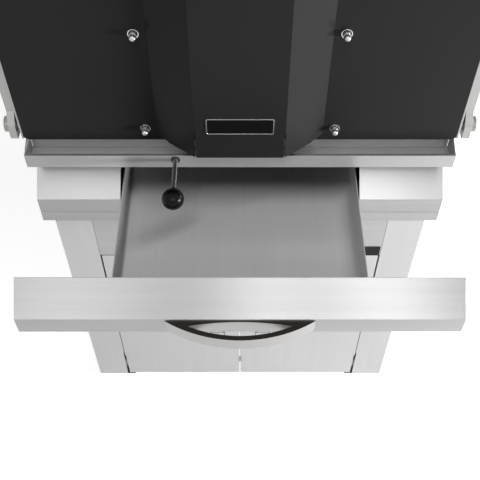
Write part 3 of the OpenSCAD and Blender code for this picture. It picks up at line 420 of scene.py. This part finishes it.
# powder coat: dark, even and softly shining
satin_black = coated("satin_black_powder_coat", "#2b2b2b", 0.35, grain=3, dent=0.003, shine=0.06,
                     speck=0.01)
# turned and polished phenolic: black with one soft highlight
knob_black = coated("polished_phenolic", "#0c0c0c", 0.24, grain=8, dent=0.0, shine=0.12)
# moulded nylon: dark grey with an eroded grain
black_plastic = coated("moulded_black_nylon", "#1d1d1e", 0.42, grain=0.8, dent=0.12)
# nitrile rubber: black and almost matt
rubber = coated("black_nitrile_rubber", "#171717", 0.75, grain=1.2, dent=0.2, shine=0.3)
# acetal: bright and smooth, for the two buttons
green_plastic = coated("green_acetal", "#1f9a4a", 0.3, grain=1.0)
red_plastic = coated("red_acetal", "#c8201c", 0.3, grain=1.0)
# brushed-on enamel: grey with a slight texture
motor_paint = coated("grey_motor_enamel", "#5c6468", 0.45, grain=2.0, dent=0.15)
# lacquer on a flat plate: near black, with a dim shine
lacquer = coated("black_lacquer", "#080808", 0.3, grain=6, dent=0.0, shine=0.12)
# painted shade in the butt joints of the fascia: dark grey and matt
seam_shade = coated("painted_seam_shade", "#56585a", 0.6, grain=1.5, dent=0.1)
print("coatings", [m.name for m in (satin_black, knob_black, black_plastic, rubber,
                                    green_plastic, red_plastic, motor_paint, lacquer, seam_shade)])

# %% [markdown]
# ## Which part has which finish
#
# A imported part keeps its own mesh, and only its material slots are filled. The table is written by
# finish, so a change of one finish is one line. Sheet that is folded across is brushed across, the
# doors and stiles are brushed upright, and the drawer is brushed along its travel.

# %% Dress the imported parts
finishes = {
    steel_x: ["cabinet_fascia", "cabinet_top", "cabinet_floor", "cabinet_shelf",
              "drawer_front", "deck", "top_hood", "rear_panel"],
    housing_steel: ["upper_housing"],
    base_steel: ["base_housing"],
    steel_y: ["drawer_box", "bread_fences"],
    trough_steel: ["crumb_trough"],
    steel_z: ["cabinet_side_left", "cabinet_side_right", "cabinet_back", "door_left",
              "door_right", "door_pull_left", "door_pull_right",
              "blade_tower_left", "blade_tower_right", "pusher_plate"],
    arm_steel: ["pusher_arm_left", "pusher_arm_right"],
    satin_black: ["front_cover", "centre_cover"],
    knob_black: ["ball_knob"],
    chrome: ["front_frame", "rear_frame"],
    rod_steel: ["release_rod"],
    bolt_steel: ["pivot_bolts"],
    zinc: ["cover_studs", "cover_washers", "cover_spacers", "hinge_pins",
           "panel_screws", "drawer_rails"],
    handle_steel: ["drawer_handle"],
    blade_steel: ["front_blades", "rear_blades"],
    # the hinge brackets are dark as painted shade in the door gap
    dark_steel_and_shade: ["rod_guide", "hinge_brackets", "door_catch"],
    mill_steel: ["pusher_bar", "drive_bracket", "input_shaft", "driven_pulley", "motor_pulley",
                 "motor_cradle"],
    cast_iron: ["crank_case"],
    motor_paint: ["motor"],
    black_plastic: ["pusher_grip", "guide_blocks", "switch_box", "cable_gland"],
    rubber: ["drive_belt", "levelling_feet"],
    green_plastic: ["start_button"],
    red_plastic: ["stop_button"],
}
for finish, names in finishes.items():
    for name in names:
        slots = nodes[name].data.materials
        if len(slots) == 0:
            slots.append(finish)
        for i in range(len(slots)):
            slots[i] = finish
dressed = sum(len(names) for names in finishes.values())
print("dressed", dressed, "of", len(nodes))
assert dressed == len(nodes), sorted(set(nodes) - set(sum(finishes.values(), [])))

# %% [markdown]
# ## Repeated fasteners with Geometry Nodes
#
# Four cap nuts hold the front cover. They could be copied by hand, but a tree that puts one nut on
# each point of a grid is shorter, and a change of pitch or size is one number. The tree ends by
# making real mesh of the copies, because an instance would be lost when the model is exported.
# The helpers below bake a tree into a plain mesh and hang it on the body that it belongs to.


# %% Helpers for Geometry Nodes
def new_tree(name, sizes):
    # every size becomes a named input of the tree, with its value as the default
    tree = bpy.data.node_groups.new(name, "GeometryNodeTree")
    for label, value in sizes.items():
        socket = tree.interface.new_socket(label, in_out="INPUT", socket_type="NodeSocketFloat")
        socket.default_value = value
    tree.interface.new_socket("Geometry", in_out="OUTPUT", socket_type="NodeSocketGeometry")
    return tree, add(tree, "NodeGroupInput").outputs


def paint(tree, geometry, material):
    return add(tree, "GeometryNodeSetMaterial", {"Geometry": geometry, "Material": material})


def end_tree(tree, geometry, material=None):
    # without a material here, each part of the tree has been painted already
    real = add(tree, "GeometryNodeRealizeInstances", {"Geometry": geometry})
    last = paint(tree, real.outputs[0], material) if material else real
    add(tree, "NodeGroupOutput", {0: last.outputs[0]})


def hang(name, mesh, body, smooth=35):
    # edges sharper than this many degrees stay sharp
    mesh.name = name
    mesh.shade_smooth()
    mesh.set_sharp_from_angle(angle=math.radians(smooth))
    piece = bpy.data.objects.new(name, mesh)
    scene.collection.objects.link(piece)
    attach(piece, body)
    print(name, len(mesh.polygons), "faces on", body)


def bake(name, tree, body):
    holder = bpy.data.objects.new(name + "_tree", bpy.data.meshes.new(name + "_tree"))
    scene.collection.objects.link(holder)
    holder.modifiers.new("make", "NODES").node_group = tree
    graph = bpy.context.evaluated_depsgraph_get()
    mesh = bpy.data.meshes.new_from_object(holder.evaluated_get(graph))
    bpy.data.objects.remove(holder)
    hang(name, mesh, body)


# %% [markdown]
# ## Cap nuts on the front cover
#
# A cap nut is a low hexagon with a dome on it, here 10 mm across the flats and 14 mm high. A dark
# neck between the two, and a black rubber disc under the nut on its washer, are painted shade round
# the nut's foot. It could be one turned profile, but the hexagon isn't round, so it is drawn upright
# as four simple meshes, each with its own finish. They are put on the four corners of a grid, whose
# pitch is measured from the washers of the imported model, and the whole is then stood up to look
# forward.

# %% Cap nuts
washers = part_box("cover_washers")
washer_d = 0.0162      # diameter of a washer
tree, size = new_tree("cap_nuts", {
    "Pitch X": washers[1].x - washers[0].x - washer_d,
    "Pitch Z": washers[1].z - washers[0].z - washer_d,
    "Flats": 0.010, "Hexagon height": 0.0045, "Dome radius": 0.0054, "Dome lift": 0.0040,
    "Neck radius": 0.0042, "Neck depth": 0.0056, "Shade disc radius": 0.0069, "Shade disc depth": 0.0008})
corner = add(tree, "ShaderNodeMath", {0: size["Flats"], 1: 1 / math.sqrt(3)},
             operation="MULTIPLY")
half_h = add(tree, "ShaderNodeMath", {0: size["Hexagon height"], 1: 0.5}, operation="MULTIPLY")
dome_z = add(tree, "ShaderNodeMath", {0: size["Hexagon height"], 1: size["Dome lift"]},
             operation="ADD")
hexagon = add(tree, "GeometryNodeMeshCylinder", {"Vertices": 6, "Radius": corner.outputs[0],
                                                 "Depth": size["Hexagon height"]})
dome = add(tree, "GeometryNodeMeshUVSphere", {"Segments": 24, "Rings": 12,
                                              "Radius": size["Dome radius"]})
neck = add(tree, "GeometryNodeMeshCylinder", {"Vertices": 24, "Radius": size["Neck radius"],
                                              "Depth": size["Neck depth"]})
shade_disc = add(tree, "GeometryNodeMeshCylinder", {"Vertices": 32, "Radius": size["Shade disc radius"],
                                              "Depth": size["Shade disc depth"]})
nut = add(tree, "GeometryNodeJoinGeometry")
# the dark neck and the rubber disc paint the shade round the nut's foot
for part, middle_z, finish in ((hexagon, half_h.outputs[0], rod_steel),
                               (dome, dome_z.outputs[0], rod_steel),
                               (neck, size["Hexagon height"], painted_shade_neck_metal),
                               (shade_disc, 0.0, rubber)):
    lift = add(tree, "ShaderNodeCombineXYZ", {"Z": middle_z})
    lifted = add(tree, "GeometryNodeTransform", {"Geometry": part.outputs["Mesh"],
                                                 "Translation": lift.outputs[0]})
    tree.links.new(paint(tree, lifted.outputs[0], finish).outputs[0], nut.inputs[0])
grid = add(tree, "GeometryNodeMeshGrid", {"Size X": size["Pitch X"], "Size Y": size["Pitch Z"],
                                          "Vertices X": 2, "Vertices Y": 2})
nuts = add(tree, "GeometryNodeInstanceOnPoints", {"Points": grid.outputs["Mesh"],
                                                  "Instance": nut.outputs[0]})
upright = add(tree, "GeometryNodeTransform", {
    "Geometry": nuts.outputs[0], "Rotation": (math.radians(90), 0, 0),
    "Translation": (0, washers[0].y, (washers[0].z + washers[1].z) / 2)})
end_tree(tree, upright.outputs[0])
bake("cap_nuts", tree, "frame")

# %% [markdown]
# ## Bare plates
#
# Two framed plates are fixed to the machine, one on the raised cover and one on the fascia above
# the right door. They stay bare: a dark lacquered field in a rim. A block with a bevel would have
# no rim, so each is one closed mesh of its own: an outline with rounded corners goes round the
# back and the front, and a smaller outline steps the field down inside the rim.


# %% Framed plates
def rounded(width, height, radius, steps=6):
    points = []
    for cx, cy, start in ((1, 1, 0), (-1, 1, 90), (-1, -1, 180), (1, -1, 270)):
        for i in range(steps + 1):
            a = math.radians(start + 90 * i / steps)
            points.append((cx * (width / 2 - radius) + radius * math.cos(a),
                           cy * (height / 2 - radius) + radius * math.sin(a)))
    return points


def framed_plate(name, centre, width, height, thick, rim_width, rim):
    outline = rounded(width, height, 0.0025)
    inner = rounded(width - 2 * rim_width, height - 2 * rim_width, 0.0015)
    back, front, sunk = centre[1], centre[1] - thick, centre[1] - thick * 0.5
    bm = bmesh.new()
    loops = [[bm.verts.new((centre[0] + x, y, centre[2] + z)) for x, z in shape]
             for shape, y in ((outline, back), (outline, front), (inner, front), (inner, sunk))]
    for a, b in zip(loops, loops[1:]):
        for i in range(len(a)):
            j = (i + 1) % len(a)
            bm.faces.new((a[i], a[j], b[j], b[i]))
    field = bm.faces.new(loops[3])
    bm.faces.new(loops[0][::-1])
    field.material_index = 1
    bmesh.ops.recalc_face_normals(bm, faces=bm.faces)
    mesh = bpy.data.meshes.new(name)
    bm.to_mesh(mesh)
    bm.free()
    mesh.materials.append(rim)
    mesh.materials.append(lacquer)
    hang(name, mesh, "frame", smooth=30)


cover_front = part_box("centre_cover")[0].y
fascia_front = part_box("cabinet_fascia")[0].y
framed_plate("bare_cover_plate", (0, cover_front, 0.824), 0.104, 0.032, 0.0012, 0.0014, zinc)
framed_plate("bare_fascia_plate", (0.2185, fascia_front, 0.4885), 0.087, 0.0265, 0.001, 0.0005,
             dark_steel_and_shade)

# %% [markdown]
# ## Trim, seams and edges
#
# Sheet metal is full of narrow things: the dark line where two sheets butt, the lip that narrows a
# door gap, the hem beside a cover. Each set is one mesh of slim bars with broken edges, written
# as two corners in millimetres of the machine's own coordinates, whose zero is the cabinet's
# front plane. The helper moves them to the place where the frame puts that plane.


# %% Slim bars
def bars(name, body, finish, corners, bevel):
    bm = bmesh.new()
    for lo, hi in corners:
        for v in bmesh.ops.create_cube(bm, size=1.0)["verts"]:
            v.co = Vector([(lo[i] + hi[i]) / 2 + v.co[i] * (hi[i] - lo[i]) for i in range(3)])
    bmesh.ops.bevel(bm, geom=bm.edges[:], offset=bevel, segments=1, affect="EDGES")
    for v in bm.verts:
        v.co = v.co * 0.001 + Vector((0, fascia_front, 0))
    bmesh.ops.recalc_face_normals(bm, faces=bm.faces)
    mesh = bpy.data.meshes.new(name)
    bm.to_mesh(mesh)
    bm.free()
    mesh.materials.append(finish)
    hang(name, mesh, body, smooth=30)


def mirrored(corners):
    return [((-hi[0], lo[1], lo[2]), (-lo[0], hi[1], hi[2])) for lo, hi in corners]


def both(corners):
    return corners + mirrored(corners)


# %% Seams, door lips and hems
# the dark grey bars are painted shade where fascia and stile butt
bars("fascia_seams", "frame", seam_shade, both([((263.7, -0.12, 476), (264.3, 0.1, 579))]), 0.04)
bars("door_gap_lips", "frame", steel_z, both([((262.2, 0, 100), (264.1, 0.5, 400))]), 0.1)
bars("housing_side_hems", "frame", arm_steel, both([((350.3, 26.5, 758), (353.6, 40, 1079))]), 0.5)
# the left door's free edge, above and below the notch for the catch
bars("door_edge_trim", "left_door", bright_edge,
     [((-0.95, 0.2, 9.5), (0.5, 1.6, 61)), ((-0.95, 0.2, 85), (0.5, 1.6, 473.5))], 0.1)

# %% Flanges and painted shadow lines of the finger pulls
flange = [((34.4, -1.1, 127), (37.1, 0.1, 193)), ((60.9, -1.1, 127), (64.6, 0.1, 193))]
# dark bars of painted shadow along the top and inner edge of each pull
shadow = [((33.3, -1.2, 127), (34.4, 0.1, 193)), ((33.3, -1.3, 192.6), (64.6, 0.1, 194.4))]
for body, side in (("left_door", mirrored), ("right_door", list)):
    bars("pull_flange_" + body, body, steel_z, side(flange), 0.1)
    bars("pull_shadow_line_" + body, body, dark_steel_and_shade, side(shadow), 0.1)

# %% [markdown]
# ## Blade teeth
#
# A bread blade has a wavy edge. Each blade carries a row of small pointed teeth along its front
# edge, so one tooth is drawn and copied up the blade, and that row is copied across the frame.
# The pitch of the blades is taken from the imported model. Both frames share the function that
# builds the tree, and differ only in what it is given.

# %% Teeth with Geometry Nodes
blade_t = 0.001        # thickness of a blade
tooth_r = 0.0038       # from the middle of a tooth to its corners
tooth_flat = 0.12      # thickness of a tooth as a share of its width
tooth_out = 0.0006     # how far the middle of a tooth stands before the blade


def teeth(name, body, node, count):
    lo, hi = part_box(node)
    tree, size = new_tree(name, {"Blade pitch": (hi.x - lo.x - blade_t) / (count - 1),
                                 "Tooth pitch": 0.008, "Tooth length": 0.0016,
                                 "First tooth": 1.1, "Teeth": 16.0, "Blades": float(count)})
    tooth = add(tree, "GeometryNodeMeshCone", {"Vertices": 4, "Radius Bottom": tooth_r,
                                               "Depth": size["Tooth length"]})
    thin = add(tree, "GeometryNodeTransform", {
        "Geometry": tooth.outputs["Mesh"], "Rotation": (math.radians(90), 0, 0),
        "Scale": (tooth_flat, 1.0, 1.0)})
    step = add(tree, "ShaderNodeCombineXYZ", {"Z": size["Tooth pitch"]})
    column = add(tree, "GeometryNodeMeshLine", {"Count": size["Teeth"], "Offset": step.outputs[0]})
    row = add(tree, "GeometryNodeInstanceOnPoints", {"Points": column.outputs[0],
                                                     "Instance": thin.outputs[0]})
    across = add(tree, "ShaderNodeCombineXYZ", {"X": size["Blade pitch"]})
    line = add(tree, "GeometryNodeMeshLine", {"Count": size["Blades"],
                                              "Offset": across.outputs[0]})
    rows = add(tree, "GeometryNodeInstanceOnPoints", {"Points": line.outputs[0],
                                                      "Instance": row.outputs[0]})
    start = add(tree, "ShaderNodeCombineXYZ", {"X": lo.x + blade_t / 2, "Y": lo.y - tooth_out,
                                               "Z": size["First tooth"]})
    put = add(tree, "GeometryNodeTransform", {"Geometry": rows.outputs[0],
                                              "Translation": start.outputs[0]})
    end_tree(tree, put.outputs[0], blade_steel)
    bake(name, tree, body)


teeth("front_blade_teeth", "front_blade_frame", "front_blades", 16)
teeth("rear_blade_teeth", "rear_blade_frame", "rear_blades", 15)

# %% [markdown]
# ## Grip ribs
#
# The pusher's grip carries thin rubber rings, so that a floury hand doesn't slip. A ring is made by
# sweeping a small circle round a large one, which needs only two radii. A line of points along the
# grip carries one ring each, and it is shifted back by half its length to sit in the middle.

# %% Rings along the grip
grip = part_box("pusher_grip")
grip_r = 0.013         # radius of the grip itself
ribs = 13
tree, size = new_tree("grip_ribs", {"Radius": 0.0128, "Wire": 0.0011, "Count": float(ribs),
                                    "Pitch": 0.008})
big = add(tree, "GeometryNodeCurvePrimitiveCircle", {"Resolution": 40, "Radius": size["Radius"]})
small = add(tree, "GeometryNodeCurvePrimitiveCircle", {"Resolution": 8, "Radius": size["Wire"]})
ring = add(tree, "GeometryNodeCurveToMesh", {"Curve": big.outputs["Curve"],
                                             "Profile Curve": small.outputs["Curve"]})
step = add(tree, "ShaderNodeCombineXYZ", {"Z": size["Pitch"]})
line = add(tree, "GeometryNodeMeshLine", {"Count": size["Count"], "Offset": step.outputs[0]})
row = add(tree, "GeometryNodeInstanceOnPoints", {"Points": line.outputs[0],
                                                 "Instance": ring.outputs[0]})
back = add(tree, "ShaderNodeMath", {0: size["Pitch"], 1: -(ribs - 1) / 2}, operation="MULTIPLY")
middle = add(tree, "ShaderNodeCombineXYZ", {"Z": back.outputs[0]})
centred = add(tree, "GeometryNodeTransform", {"Geometry": row.outputs[0],
                                              "Translation": middle.outputs[0]})
turned = add(tree, "GeometryNodeTransform", {
    "Geometry": centred.outputs[0], "Rotation": (0, math.radians(90), 0),
    "Translation": (0, grip[0].y + grip_r, (grip[0].z + grip[1].z) / 2)})
end_tree(tree, turned.outputs[0], rubber)
bake("grip_ribs", tree, "pusher")

# %% [markdown]
# ## Hoods on the rear slots
#
# The rear panel has two columns of eight slots for the motor's heat. Each slot gets a slim hood
# along its upper edge, so that nothing falls in. One hood is a thin round bar, half sunk in the
# panel, and a grid of two by eight, with the pitch of the slots, puts them all in place.

# %% Hoods
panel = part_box("rear_panel")
hood_in = 0.0006       # how far a hood's middle lies inside the panel's rear face
slots_middle = 0.1366  # height of the grid's middle above the panel's lower edge
tree, size = new_tree("rear_hoods", {"Length": 0.122, "Height": 0.0026, "Pitch X": 0.26,
                                     "Pitch Z": 0.02})
climb = add(tree, "ShaderNodeMath", {0: size["Pitch Z"], 1: 7.0}, operation="MULTIPLY")
field = add(tree, "GeometryNodeMeshGrid", {"Size X": size["Pitch X"], "Size Y": climb.outputs[0],
                                           "Vertices X": 2, "Vertices Y": 8})
hood = add(tree, "GeometryNodeMeshCylinder", {"Vertices": 20, "Radius": size["Height"],
                                              "Depth": size["Length"]})
laid = add(tree, "GeometryNodeTransform", {"Geometry": hood.outputs["Mesh"],
                                           "Rotation": (0, math.radians(90), 0)})
hoods = add(tree, "GeometryNodeInstanceOnPoints", {"Points": field.outputs["Mesh"],
                                                   "Instance": laid.outputs[0]})
stood = add(tree, "GeometryNodeTransform", {
    "Geometry": hoods.outputs[0], "Rotation": (math.radians(90), 0, 0),
    "Translation": (0, panel[1].y - hood_in, panel[0].z + slots_middle)})
end_tree(tree, stood.outputs[0], steel_x)
bake("rear_hoods", tree, "frame")
